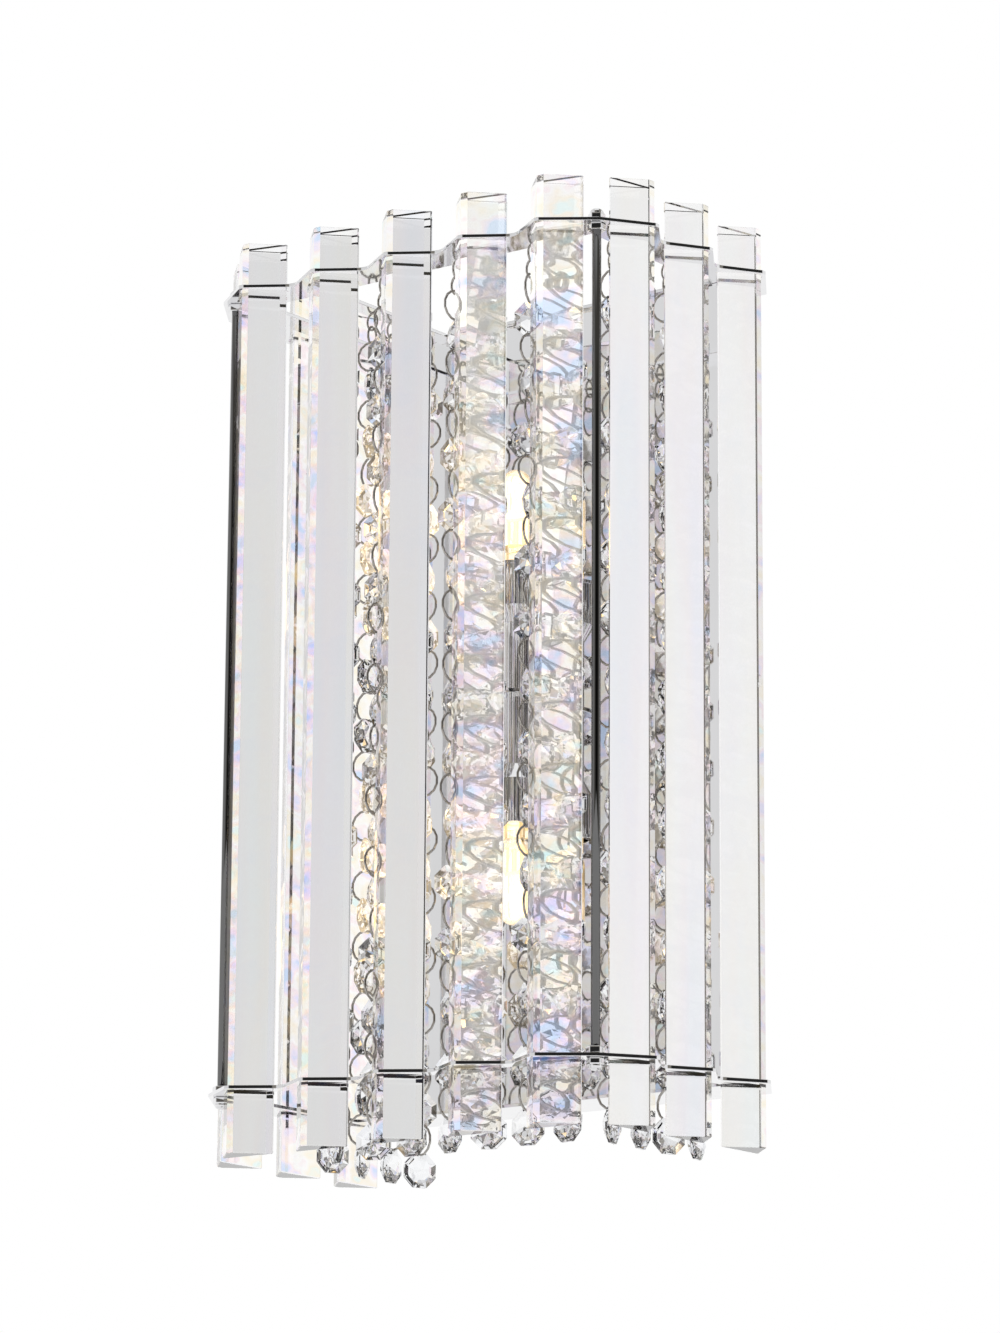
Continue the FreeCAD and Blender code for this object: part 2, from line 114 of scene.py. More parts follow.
# painted pastel colours of split light, a painted sheen standing in for the prisms' dispersion, as colour
# ramp stops
PAINTED_RAINBOW = (
    (0.32, (0.45, 0.64, 1.0)),
    (0.38, (0.80, 0.72, 1.0)),
    (0.44, (1.0, 0.78, 0.80)),
    (0.50, (1.0, 0.99, 0.97)),
    (0.56, (1.0, 0.95, 0.82)),
    (0.63, (1.0, 0.87, 0.62)),
    (0.72, (0.70, 0.96, 0.92)),
)


# ---- sizes, finishes and stage ------------------------------------------------------------------

def length(name, description, default):
    return FloatProperty(name=name, description=description, default=default, unit="LENGTH", precision=4)


def angle(name, description, degrees):
    return FloatProperty(name=name, description=description, default=math.radians(degrees), subtype="ANGLE")


def amount(name, description, default):
    return FloatProperty(name=name, description=description, default=default, min=0.0, precision=3)


def colour(name, description, default):
    return FloatVectorProperty(name=name, description=description, default=default, subtype="COLOR",
                               min=0.0, max=1.0)


def spot(name, description, default):
    return FloatVectorProperty(name=name, description=description, default=default, subtype="XYZ_LENGTH",
                               precision=4)


class SconceSizes(bpy.types.PropertyGroup):
    """Sizes of the pieces made here; what isn't here is measured on the frame"""
    bar_bevel: length("Bar bevel", "Ground bevel along every edge of a prism bar", 0.0003)
    sheet: length("Sheet", "Thickness of the two saw-tooth frames and the rail", 0.0015)
    sheet_bevel: length("Sheet bevel", "Rounding of their cut edges", 0.00015)
    crystal_width: length("Crystal width", "Octagon crystal across its points", 0.01595)
    crystal_thickness: length("Crystal thickness", "Octagon crystal from point to point", 0.007)
    crystal_girdle: length("Crystal girdle", "Width of the octagon's rim", 0.0012)
    crystal_drop: length("Crystal drop", "From the swing axis to the middle of the first crystal", 0.02685)
    crystal_period: length("Crystal period", "From one crystal of a strand to the next", 0.0264)
    ring_height: length("Ring height", "Wire ring between two crystals, to the middle of its wire", 0.0134)
    ring_wire: length("Ring wire", "Thickness of the rings' wire", 0.0011)
    link_height: length("Link height", "First link of a strand, to the middle of its wire", 0.0085)
    link_gap: length("Link gap", "From the foot of the link to the top of the first ring", -0.00155)
    eye_height: length("Eye height", "Wire eye under the frame, to the middle of its wire", 0.0077)
    eye_wire: length("Eye wire", "Thickness of the eyes' wire", 0.001)
    eye_rise: length("Eye rise", "From the swing axis up to the top of the eye", 0.0062)
    screw_head: length("Screw head", "Height of a screw's domed head", 0.0022)
    crystals: IntProperty(name="Crystals", description="Crystals on a strand", default=14, min=1, max=40)
    crystal_turn: angle("Crystal turn", "Most that a crystal turns about its strand", 34)
    ring_turn: angle("Ring turn", "Most that a ring turns about its strand", 16)
    seed: IntProperty(name="Seed", description="Seed of the strands' small turns", default=7, min=0)


class SconceFinishes(bpy.types.PropertyGroup):
    """Colours and strengths of the finishes"""
    bar_glass: colour("Bar glass", "Clear glass of the prism bars", (0.98, 0.985, 0.99))
    bar_index: amount("Bar index", "Refractive index of the bars that flash white", 1.545)
    # painted sheen: the bars' back faces glow faintly in split-light colours, by emission
    bar_sheen: amount("Bar sheen", "Strength of the colours that those bars split light into", 0.02)
    # bars that show the strands: a lower index, and a stronger painted sheen that lights them up
    lighter_index: amount("Lighter index", "Refractive index of the bars that show the strands", 1.5)
    lighter_sheen: amount("Lighter sheen", "Strength of the colours of the lighter bars", 0.18)
    crystal_glass: colour("Crystal glass", "Cut crystal of the strands", (0.97, 0.975, 0.98))
    crystal_index: amount("Crystal index", "Refractive index of the cut crystal", 1.58)
    # painted glow: crystals near the lamps shine by emission in this colour and strength
    crystal_light: colour("Crystal light", "Lamp light caught in the crystals", (1.0, 0.78, 0.48))
    crystal_glow: amount("Crystal glow", "Most lamp light that a crystal carries", 0.38)
    chrome: colour("Chrome", "Bright chrome of the frames and nuts", (0.82, 0.82, 0.83))
    mirror: colour("Mirror", "Polished face of the back box", (0.86, 0.86, 0.87))
    # the rods' chrome colour painted dark, a painted reflection standing in for the dark surroundings that
    # the chrome mirrors
    rod: colour("Rod", "Dark bright finish of the corner rods", (0.16, 0.16, 0.16))
    wire: colour("Wire", "Bright wire of rings and eyes", (0.42, 0.4, 0.37))
    zinc: colour("Zinc", "Zinc plated steel on the wall side", (0.55, 0.56, 0.57))
    plastic: colour("Plastic", "White plastic of the terminal block", (0.85, 0.85, 0.82))
    lamp_wire: colour("Lamp wire", "Pins and filament of the lamps", (0.7, 0.66, 0.6))
    lamp_light: colour("Lamp light", "Glow of the capsule lamps", (1.0, 0.7, 0.32))
    lamp_strength: amount("Lamp strength", "Brightness of the lamps' glow", 0.6)


class SconceStage(bpy.types.PropertyGroup):
    """Camera, light and floor"""
    camera_place: spot("Camera place", "Where the camera stands", (1.2626, -1.7385, -0.4811))
    camera_yaw: angle("Camera yaw", "Turn of the view about the vertical", -36.92)
    camera_pitch: angle("Camera pitch", "Tilt of the view above the horizon", 13.17)
    camera_roll: angle("Camera roll", "Roll of the camera", 0.35)
    lens: FloatProperty(name="Lens", description="Focal length on a 36 mm sensor", default=134.74,
                        unit="CAMERA")
    light_level: amount("Light level", "Brightness of the even studio light", 0.85)
    light_place: spot("Light place", "Where the soft studio light hangs", (-1.3, -1.6, 1.7))
    light_power: amount("Light power", "Power in watts of the soft studio light", 12.0)
    light_width: length("Light width", "Width of the soft studio light", 1.6)
    floor_drop: length("Floor drop", "From the middle of the sconce down to the floor", 1.6)
    floor: colour("Floor", "Pale floor", (0.86, 0.86, 0.87))


def sizes():
    return bpy.context.scene.sconce_sizes


def finishes():
    return bpy.context.scene.sconce_finishes


# ---- helpers ------------------------------------------------------------------------------------

def mesh_object(name, mesh):
    piece = bpy.data.objects.new(name, mesh)
    bpy.context.scene.collection.objects.link(piece)
    return piece


def from_bmesh(name, shape, material=None, smooth=False):
    """New object of a bmesh, freed here."""
    mesh = bpy.data.meshes.new(name)
    shape.to_mesh(mesh)
    shape.free()
    mesh.polygons.foreach_set("use_smooth", [smooth] * len(mesh.polygons))
    if material:
        mesh.materials.append(material)
    return mesh_object(name, mesh)


def finish_piece(piece, body, slot, *nodes):
    """The piece rides on a body and stands for CAD nodes, which it hides; slot is not used."""
    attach(piece, body)
    if nodes:
        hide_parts(*nodes)
    return piece


def body_of(node):
    return frame["nodes"][node]["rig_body"]


def bevel_edges(piece, width, segments=2):
    """Fine rounding along a piece's hard edges."""
    edge = piece.modifiers.new("Fine edges", "BEVEL")
    edge.width = width
    edge.segments = segments
    edge.limit_method = "ANGLE"
    edge.angle_limit = math.radians(25)


def merged_copy(node):
    """A bmesh of a CAD node with its loose triangles joined up."""
    shape = bmesh.new()
    shape.from_mesh(frame["nodes"][node].data)
    bmesh.ops.remove_doubles(shape, verts=shape.verts, dist=1e-6)
    return shape


def facing_out(shape):
    """A closed bmesh with all its faces turned outwards."""
    bmesh.ops.recalc_face_normals(shape, faces=shape.faces)
    return shape


def refined(node, name, slot, bevel, segments=2, material=None):
    """A CAD node's own shape with clean flats and finely rounded edges."""
    shape = merged_copy(node)
    bmesh.ops.dissolve_limit(shape, angle_limit=math.radians(0.5), verts=shape.verts, edges=shape.edges)
    piece = from_bmesh(name, facing_out(shape), material or finish(slot))
    bevel_edges(piece, bevel, segments)
    return finish_piece(piece, body_of(node), slot, node)


def join_in(shape, other):
    """Take another bmesh into this one; the other is freed."""
    mesh = bpy.data.meshes.new("joined")
    other.to_mesh(mesh)
    other.free()
    shape.from_mesh(mesh)
    bpy.data.meshes.remove(mesh)


def around(sides, start=0.0):
    """Angles of this many points spread evenly round a circle."""
    return [start + 2 * math.pi * i / sides for i in range(sides)]


def skin(shape, rings):
    """Faces from each ring of points to the next; a pole is a ring of one point, repeated."""
    for low, high in zip(rings, rings[1:]):
        for i in range(len(low)):
            n = (i + 1) % len(low)
            shape.faces.new(list(dict.fromkeys([low[i], low[n], high[n], high[i]])))


def lathe(profile, sides, place=Vector()):
    """Bmesh of revolution about a vertical axis; the (radius, z) profile starts and ends on it."""
    shape = bmesh.new()
    rings = []
    for radius, z in profile:
        if radius == 0:
            rings.append([shape.verts.new(place + Vector((0, 0, z)))] * sides)
        else:
            rings.append([shape.verts.new(place + Vector((radius * math.cos(t), radius * math.sin(t), z)))
                          for t in around(sides)])
    skin(shape, rings)
    return facing_out(shape)


# ---- nodes --------------------------------------------------------------------------------------

def fill(tree, node, inputs):
    """Set a node's inputs, by name or number, to plain values or link them to outputs; None is skipped."""
    for name, value in inputs.items():
        if isinstance(value, bpy.types.NodeSocket):
            tree.links.new(value, node.inputs[name])
        elif value is not None:
            node.inputs[name].default_value = value


def add(tree, kind, inputs=None, **settings):
    """New node with these inputs and settings."""
    node = tree.nodes.new(kind)
    for name, value in settings.items():
        setattr(node, name, value)
    fill(tree, node, inputs or {})
    return node


def arithmetic(tree, operation, a, b=None, clamp=False):
    return add(tree, "ShaderNodeMath", {0: a, 1: b}, operation=operation, use_clamp=clamp).outputs[0]


def minus(tree, value):
    return arithmetic(tree, "MULTIPLY", value, -1.0)


def vector_of(tree, x=None, y=None, z=None):
    """Combined vector; a part may be a socket, a number or left at nought."""
    return add(tree, "ShaderNodeCombineXYZ", {0: x, 1: y, 2: z}).outputs[0]


def vector_measure(tree, operation, vector, other=None):
    """A number worked out from a vector, such as its length or its distance from another."""
    return add(tree, "ShaderNodeVectorMath", {0: vector, 1: other}, operation=operation).outputs["Value"]


def ranged(tree, value, start, end, first=0.0, last=1.0, kind="LINEAR"):
    """Turn a value from start to end into one from first to last."""
    return add(tree, "ShaderNodeMapRange", {"Value": value, "From Min": start, "From Max": end,
                                            "To Min": first, "To Max": last},
               interpolation_type=kind).outputs["Result"]


def mixed(tree, share, first, second):
    """Mix of two colours."""
    return add(tree, "ShaderNodeMix", {0: share, 6: first, 7: second}, data_type="RGBA").outputs[2]


def mixed_shaders(tree, share, first, second):
    return add(tree, "ShaderNodeMixShader", {0: share, 1: first, 2: second}).outputs[0]


def own_place(tree):
    """Place on the piece, in its own coordinates."""
    return add(tree, "ShaderNodeTexCoord").outputs["Object"]


def noise(tree, scale, stretch=(1, 1, 1), detail=2.0):
    """Noise in the piece's own coordinates, drawn out along an axis whose stretch is small."""
    mapping = add(tree, "ShaderNodeMapping", {"Vector": own_place(tree), "Scale": stretch})
    return add(tree, "ShaderNodeTexNoise", {"Vector": mapping.outputs["Vector"], "Scale": scale,
                                            "Detail": detail}).outputs["Fac"]


def ramp(tree, value, stops):
    """Colour of a value by (place, colour) stops."""
    node = add(tree, "ShaderNodeValToRGB", {"Fac": value})
    band = node.color_ramp
    while len(band.elements) < len(stops):
        band.elements.new(0.5)
    for element, (place, shade) in zip(band.elements, stops):
        element.position = place
        element.color = (*shade, 1.0)
    return node.outputs["Color"]


def varied(tree, texture, tint, share):
    """The tint, and a share of it where the texture is low."""
    return ramp(tree, texture, [(0.3, [part * share for part in tint]), (0.7, tint)])


# ---- materials ----------------------------------------------------------------------------------

def new_material(name):
    """A node material, its node tree and its shader."""
    material = bpy.data.materials.new(name)
    material.use_nodes = True
    return material, material.node_tree, material.node_tree.nodes["Principled BSDF"]


def glass(name, tint, ior):
    """Clear glass with faint drawn streaks; their colour is handed back too."""
    material, tree, shader = new_material(name)
    bluish = [part * share for part, share in zip(tint, (0.98, 0.985, 1.0))]
    shade = ramp(tree, noise(tree, 60.0, stretch=(1, 1, 0.06)), [(0.35, bluish), (0.65, tint)])
    fill(tree, shader, {"Base Color": shade, "Transmission Weight": 1.0, "Roughness": 0.0, "IOR": ior})
    return material, tree, shader, shade


def painted_glow_near_lamps(tree, near, far, most):
    """Strength of a painted glow near the middle of a lamp, falling to none further out."""
    place = own_place(tree)
    gaps = []
    for lamp in ("bulb_upper_glass", "bulb_lower_glass"):
        low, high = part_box(lamp)
        gaps.append(vector_measure(tree, "DISTANCE", place, (low + high) / 2))
    return ranged(tree, arithmetic(tree, "MINIMUM", *gaps), near, far, most, 0.0, "SMOOTHSTEP")


def painted_sheen_between_frames(tree, most):
    """Strength of the painted sheen between the two frames, and a little of it beyond them."""
    split = add(tree, "ShaderNodeSeparateXYZ", {0: own_place(tree)})
    height = arithmetic(tree, "ABSOLUTE", split.outputs["Z"])
    fade_start, fade_end, share_beyond = TOP_FACE - 0.006, TOP_FACE + 0.002, 0.35
    return ranged(tree, height, fade_start, fade_end, most, most * share_beyond)


def crystal_glass(name, tint, ior, light, glow):
    """Cut crystal with a painted glow: emission in the lamps' colour where it hangs near them."""
    material, tree, shader, _ = glass(name, tint, ior)
    fill(tree, shader, {"Emission Color": (*light, 1.0),
                        "Emission Strength": painted_glow_near_lamps(tree, near=0.03, far=0.09, most=glow)})
    return material


def painted_rainbow_glass(name, tint, ior, sheen, painted_streak_share=0.16):
    """Clear glass of a prism with painted colours of split light: on the face marked back a painted sheen
    that also glows a little by emission, and faint painted upright streaks on the others."""
    material, tree, shader, shade = glass(name, tint, ior)
    back = add(tree, "ShaderNodeAttribute", attribute_name="back").outputs["Fac"]
    streaks = ramp(tree, noise(tree, 42.0, stretch=(1, 1, 0.07)), PAINTED_RAINBOW)
    patches = ramp(tree, noise(tree, 60.0, stretch=(1, 1, 1.6)), PAINTED_RAINBOW)
    # painted sheen: split-light colours on the back face, also glowing by emission, and painted rainbow
    # streaks on the other faces
    fill(tree, shader, {"Base Color": mixed(tree, back, mixed(tree, painted_streak_share, shade, streaks), patches),
                        "Emission Color": patches,
                        "Emission Strength": arithmetic(tree, "MULTIPLY", back, painted_sheen_between_frames(tree, sheen))})
    return material


def polished_metal(name, tint, smoothest, roughest, ripple=0.0, fineness=180.0):
    """Bright metal with small changes of roughness and, if asked for, a very faint ripple."""
    material, tree, shader = new_material(name)
    texture = noise(tree, fineness, detail=4.0)
    fill(tree, shader, {"Metallic": 1.0, "Base Color": varied(tree, texture, tint, 0.96),
                        "Roughness": ranged(tree, texture, 0.0, 1.0, smoothest, roughest)})
    if ripple:
        bump = add(tree, "ShaderNodeBump", {"Strength": ripple, "Distance": 0.0002, "Height": texture})
        fill(tree, shader, {"Normal": bump.outputs["Normal"]})
    return material


def moulded_plastic(name, tint):
    material, tree, shader = new_material(name)
    fill(tree, shader, {"Roughness": 0.42, "Base Color": varied(tree, noise(tree, 900.0), tint, 0.97)})
    return material


def glowing_glass(name, light, strength):
    """Clear capsule of a lit lamp, brightest round its filament."""
    material, tree, shader = new_material(name)
    facing = add(tree, "ShaderNodeLayerWeight").outputs["Facing"]
    shade = ramp(tree, noise(tree, 90.0), [(0.3, (0.97, 0.96, 0.94)), (0.7, (1.0, 0.99, 0.97))])
    fill(tree, shader, {"Base Color": shade, "Transmission Weight": 1.0, "Roughness": 0.02, "IOR": 1.46,
                        "Emission Color": (*light, 1.0),
                        "Emission Strength": ranged(tree, facing, 0.06, 0.5, strength, 0.0)})
    return material


def finish(name):
    """The finish of a material slot, made when first asked for."""
    if name not in MADE:
        MADE[name] = new_finish(name)
        MADE[name].name = name + "_finish"
    return MADE[name]


def new_finish(name):
    looks = finishes()
    if name == "bar_glass":
        return painted_rainbow_glass(name, looks.bar_glass, looks.bar_index, looks.bar_sheen)
    if name == "lighter_bar_glass":
        return painted_rainbow_glass(name, looks.bar_glass, looks.lighter_index, looks.lighter_sheen)
    if name == "crystal_glass":
        return crystal_glass(name, looks.crystal_glass, looks.crystal_index, looks.crystal_light,
                             looks.crystal_glow)
    if name == "lamp_glass":
        return glowing_glass(name, looks.lamp_light, looks.lamp_strength)
    if name == "white_plastic":
        return moulded_plastic(name, looks.plastic)
    metal, *surface = METALS.get(name, CHROME)
    return polished_metal(name, getattr(looks, metal), *surface)


# ---- geometry nodes -----------------------------------------------------------------------------

def new_tree(name, inputs):
    """Geometry node tree with named inputs; returns it with its input and output nodes."""
    tree = bpy.data.node_groups.new(name, "GeometryNodeTree")
    tree.interface.new_socket("Geometry", in_out="INPUT", socket_type="NodeSocketGeometry")
    for label, kind in inputs:
        tree.interface.new_socket(label, in_out="INPUT", socket_type="NodeSocket" + kind)
    tree.interface.new_socket("Geometry", in_out="OUTPUT", socket_type="NodeSocketGeometry")
    return tree, tree.nodes.new("NodeGroupInput"), tree.nodes.new("NodeGroupOutput")


def close_tree(tree, geometry, material, group_out):
    """Realize Instances and Set Material, then the tree's output."""
    real = add(tree, "GeometryNodeRealizeInstances", {"Geometry": geometry}).outputs["Geometry"]
    coated = add(tree, "GeometryNodeSetMaterial", {"Geometry": real, "Material": material})
    fill(tree, group_out, {0: coated.outputs["Geometry"]})


def instances(tree, points, piece, turned):
    """A piece on each of these points, with its turn."""
    return add(tree, "GeometryNodeInstanceOnPoints", {"Points": points, "Instance": piece,
                                                      "Rotation": turned}).outputs["Instances"]


def strung(tree, piece, first, period, count, turned):
    """Instances of a piece on a plumb line, with their turns."""
    line = add(tree, "GeometryNodeMeshLine", {"Count": count, "Start Location": vector_of(tree, z=first),
                                              "Offset": vector_of(tree, z=minus(tree, period))},
               mode="OFFSET")
    return instances(tree, line.outputs["Mesh"], piece, turned)


def random_turn(tree, most, seed, tip=0.0, lean=0.0):
    """Rotation with a fixed tip about Y, a random turn about the plumb line and a small random lean."""
    return add(tree, "FunctionNodeRandomValue", {0: vector_of(tree, -lean, tip, minus(tree, most)),
                                                 1: vector_of(tree, lean, tip, most), "Seed": seed},
               data_type="FLOAT_VECTOR").outputs[0]


def moved(tree, geometry, inputs):
    return add(tree, "GeometryNodeTransform", {"Geometry": geometry, **inputs}).outputs["Geometry"]


def moved_into_place(tree, source, geometry):
    """The strand, made round the plumb line through the origin, goes to its place."""
    return moved(tree, geometry, {"Translation": source["Place"],
                                  "Rotation": vector_of(tree, z=source["Facing"])})


def crystals_tree():
    """One crystal repeated down a strand."""
    inputs = [("Crystal", "Object"), ("Count", "Int"), ("Drop", "Float"), ("Period", "Float"),
              ("Turn", "Float"), ("Seed", "Int"), ("Place", "Vector"), ("Facing", "Float"),
              ("Finish", "Material")]
    tree, group_in, group_out = new_tree("Strand crystals", inputs)
    source = group_in.outputs
    shape = add(tree, "GeometryNodeObjectInfo", {"Object": source["Crystal"]})
    turned = random_turn(tree, source["Turn"], source["Seed"], lean=0.05)
    strand = strung(tree, shape.outputs["Geometry"], minus(tree, source["Drop"]), source["Period"],
                    source["Count"], turned)
    close_tree(tree, moved_into_place(tree, source, strand), source["Finish"], group_out)
    return tree


def circle(tree, width, sides):
    radius = arithmetic(tree, "MULTIPLY", width, 0.5)
    return add(tree, "GeometryNodeCurvePrimitiveCircle", {"Resolution": sides,
                                                          "Radius": radius}).outputs["Curve"]


def wire_circle(tree, height, wire, width_share=1.0, sides=14):
    """Closed wire loop round the origin, in the plane of X and Y; height is that of its middle line."""
    line = moved(tree, circle(tree, height, sides), {"Scale": (1.0, width_share, 1.0)})
    section = circle(tree, wire, sides=5)
    loop = add(tree, "GeometryNodeCurveToMesh", {"Curve": line, "Profile Curve": section})
    smooth = add(tree, "GeometryNodeSetShadeSmooth", {"Geometry": loop.outputs["Mesh"]})
    return smooth.outputs["Geometry"]


def rings_tree():
    """The first link of a strand and the ring above each crystal."""
    inputs = [("Count", "Int"), ("Link Height", "Float"), ("Link Gap", "Float"), ("Ring Height", "Float"),
              ("Period", "Float"), ("Wire", "Float"), ("Turn", "Float"), ("Seed", "Int"), ("Place", "Vector"),
              ("Facing", "Float"), ("Finish", "Material")]
    tree, group_in, group_out = new_tree("Strand rings", inputs)
    source = group_in.outputs
    ring_top = arithmetic(tree, "ADD", minus(tree, source["Link Height"]), minus(tree, source["Link Gap"]))
    middle = arithmetic(tree, "SUBTRACT", ring_top, arithmetic(tree, "MULTIPLY", source["Ring Height"], 0.5))
    upright = random_turn(tree, source["Turn"], source["Seed"], tip=math.pi / 2, lean=0.04)
    rings = strung(tree, wire_circle(tree, source["Ring Height"], source["Wire"]), middle,
                   source["Period"], source["Count"], upright)
    half_down = arithmetic(tree, "MULTIPLY", source["Link Height"], -0.5)
    link = moved(tree, wire_circle(tree, source["Link Height"], source["Wire"], width_share=0.7),
                 {"Rotation": (0.0, math.pi / 2, math.pi / 2), "Translation": vector_of(tree, z=half_down)})
    both = add(tree, "GeometryNodeJoinGeometry", {"Geometry": rings})
    fill(tree, both, {"Geometry": link})
    close_tree(tree, moved_into_place(tree, source, both.outputs["Geometry"]), source["Finish"], group_out)
    return tree


def repeated_tree():
    """One piece repeated on points that carry its turn."""
    tree, group_in, group_out = new_tree("Repeated piece", [("Piece", "Object"), ("Finish", "Material")])
    source = group_in.outputs
    shape = add(tree, "GeometryNodeObjectInfo", {"Object": source["Piece"]}).outputs["Geometry"]
    turn = add(tree, "GeometryNodeInputNamedAttribute", {"Name": "turn"}, data_type="FLOAT_VECTOR")
    placed = instances(tree, source["Geometry"], shape, turn.outputs["Attribute"])
    close_tree(tree, placed, source["Finish"], group_out)
    return tree


def grown(name, points, tree, values):
    """Plain mesh object of what a tree makes on these (place, turn) points with these inputs."""
    mesh = bpy.data.meshes.new(name)
    mesh.from_pydata([place for place, _ in points], [], [])
    turns = mesh.attributes.new("turn", "FLOAT_VECTOR", "POINT")
    for item, (_, turn) in zip(turns.data, points):
        item.vector = turn
    seedbed = mesh_object(name + "_seedbed", mesh)
    growth = seedbed.modifiers.new("Growth", "NODES")
    growth.node_group = tree
    for socket in tree.interface.items_tree:
        if socket.item_type == "SOCKET" and socket.in_out == "INPUT" and socket.name in values:
            growth[socket.identifier] = values[socket.name]
    graph = bpy.context.evaluated_depsgraph_get()
    made = bpy.data.meshes.new_from_object(seedbed.evaluated_get(graph), depsgraph=graph)
    seedbed.modifiers.remove(growth)
    bpy.data.objects.remove(seedbed)
    if not made.polygons:
        raise RuntimeError(name + " came out empty")
    made.name = name
    return mesh_object(name, made)


def repeated(name, pattern, points, material):
    """A pattern object repeated on points as one plain mesh; the pattern itself goes."""
    tree = bpy.data.node_groups.get("Repeated piece") or repeated_tree()
    piece = grown(name, points, tree, {"Piece": pattern, "Finish": material})
    bpy.data.objects.remove(pattern)
    return piece


# ---- prism bars ---------------------------------------------------------------------------------

class SCONCE_OT_prism_bars(bpy.types.Operator):
    """Make the eleven clear prism bars with ground edges"""
    bl_idname = "sconce.prism_bars"
    bl_label = "Prism Bars"

    def execute(self, context):
        for node in BARS:
            clear = finish("lighter_bar_glass" if node in STRAND_SHOWING_BARS else "bar_glass")
            piece = refined(node, node + "_prism", "bar_glass", sizes().bar_bevel, 1, clear)
            # the largest face is marked back; the bar glass paints its sheen of split-light colours there
            areas = [face.area for face in piece.data.polygons]
            mark = piece.data.attributes.new("back", "FLOAT", "FACE")
            mark.data[areas.index(max(areas))].value = 1.0
        return {"FINISHED"}


# ---- strands ------------------------------------------------------------------------------------

def crystal_pattern():
    """Octagon crystal standing in the XZ plane: a thin rim, and on each side two rings of facets
    that meet in a point."""
    size = sizes()
    # share of the width, and distance from the crystal's middle plane
    tiers = ((1.0, size.crystal_girdle / 2), (0.56, size.crystal_thickness * 0.36))
    shape = bmesh.new()
    rims = []
    for side in (-1, 1):
        rings = []
        for width_share, out in tiers:
            radius = size.crystal_width / 2 * width_share
            rings.append([shape.verts.new((radius * math.cos(t), side * out, radius * math.sin(t)))
                          for t in around(8, math.pi / 8)])
        point = shape.verts.new((0, side * size.crystal_thickness / 2, 0))
        skin(shape, [*rings, [point] * 8])
        rims.append(rings[0])
    skin(shape, rims)
    return from_bmesh("crystal_pattern", facing_out(shape))


def strand_place(strand):
    """Place of a strand's swing axis and the turn of its row."""
    quarter_turns = {"front": 0, "left": -1, "right": 1}[strand.split("_")[1]]
    return Vector(SWINGS[strand]["pos_m"]), quarter_turns * math.pi / 2


class SCONCE_OT_strands(bpy.types.Operator):
    """Make the octagon crystals and the wire rings of every strand"""
    bl_idname = "sconce.strands"
    bl_label = "Crystal Strands"

    def execute(self, context):
        size = sizes()
        pattern = crystal_pattern()
        crystals = crystals_tree()
        rings = rings_tree()
        origin = [(Vector(), Vector())]
        for number, strand in enumerate(STRANDS):
            place, facing = strand_place(strand)
            common = {"Count": size.crystals, "Period": size.crystal_period, "Place": place, "Facing": facing,
                      "Seed": size.seed + number}
            piece = grown(strand + "_octagons", origin, crystals,
                          {**common, "Crystal": pattern, "Drop": size.crystal_drop, "Turn": size.crystal_turn,
                           "Finish": finish("crystal_glass")})
            finish_piece(piece, strand, "crystal_glass", strand + "_crystals")
            piece = grown(strand + "_links", origin, rings,
                          {**common, "Link Height": size.link_height, "Link Gap": size.link_gap,
                           "Ring Height": size.ring_height, "Wire": size.ring_wire, "Turn": size.ring_turn,
                           "Finish": finish("wire")})
            finish_piece(piece, strand, "wire", strand + "_rings")
        bpy.data.objects.remove(pattern)
        return {"FINISHED"}


# ---- frames -------------------------------------------------------------------------------------

def sheet_piece(node, name, level):
    """A sheet part grown down from the flat face at one level of its CAD node, without the eyes."""
    close = 1e-5
    shape = merged_copy(node)
    off = [face for face in shape.faces
           if face.normal.z < 0.9 or any(abs(v.co.z - level) > close for v in face.verts)]
    bmesh.ops.delete(shape, geom=off, context="FACES")
    flats, rim = list(shape.faces), [edge for edge in shape.edges if edge.is_boundary]
    below = {v: shape.verts.new(v.co - Vector((0, 0, sizes().sheet))) for v in list(shape.verts)}
    for face in flats:
        shape.faces.new([below[v] for v in face.verts])
    for a, b in [edge.verts for edge in rim]:
        shape.faces.new([a, b, below[b], below[a]])
    piece = from_bmesh(name, facing_out(shape), finish("frame_chrome"))
    bevel_edges(piece, sizes().sheet_bevel)
    finish_piece(piece, body_of(node), "frame_chrome", node)


def eye_pattern():
    """Round wire eye standing in the YZ plane, its top at the origin."""
    size = sizes()
    narrowing = 0.72
    aside = Vector((1, 0, 0))
    shape = bmesh.new()
    rings = []
    for turn in around(20):
        out = Vector((0, math.sin(turn) * narrowing, math.cos(turn)))
        middle = Vector((0, 0, -size.eye_height / 2)) + out * size.eye_height / 2
        rings.append([shape.verts.new(middle + size.eye_wire / 2
                                      * (math.cos(k) * out.normalized() + math.sin(k) * aside))
                      for k in around(6)])
    skin(shape, rings + rings[:1])
    return from_bmesh("eye_pattern", facing_out(shape), smooth=True)


class SCONCE_OT_frames(bpy.types.Operator):
    """Make the two saw-tooth frames, the rail and the wire eyes under them"""
    bl_idname = "sconce.frames"
    bl_label = "Saw-tooth Frames"

    def execute(self, context):
        for node, name in (("top_frame", "top_frame_sheet"), ("bottom_frame", "bottom_frame_sheet"),
                           ("strand_rail", "strand_rail_strip")):
            sheet_piece(node, name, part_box(node)[1].z)
        points = []
        for strand in STRANDS:
            place, facing = strand_place(strand)
            points.append((place + Vector((0, 0, sizes().eye_rise)), Vector((0, 0, facing))))
        eyes = repeated("hanging_eyes", eye_pattern(), points, finish("wire"))
        finish_piece(eyes, "fixture", "wire")
        return {"FINISHED"}


# ---- rods, nuts and screws ----------------------------------------------------------------------

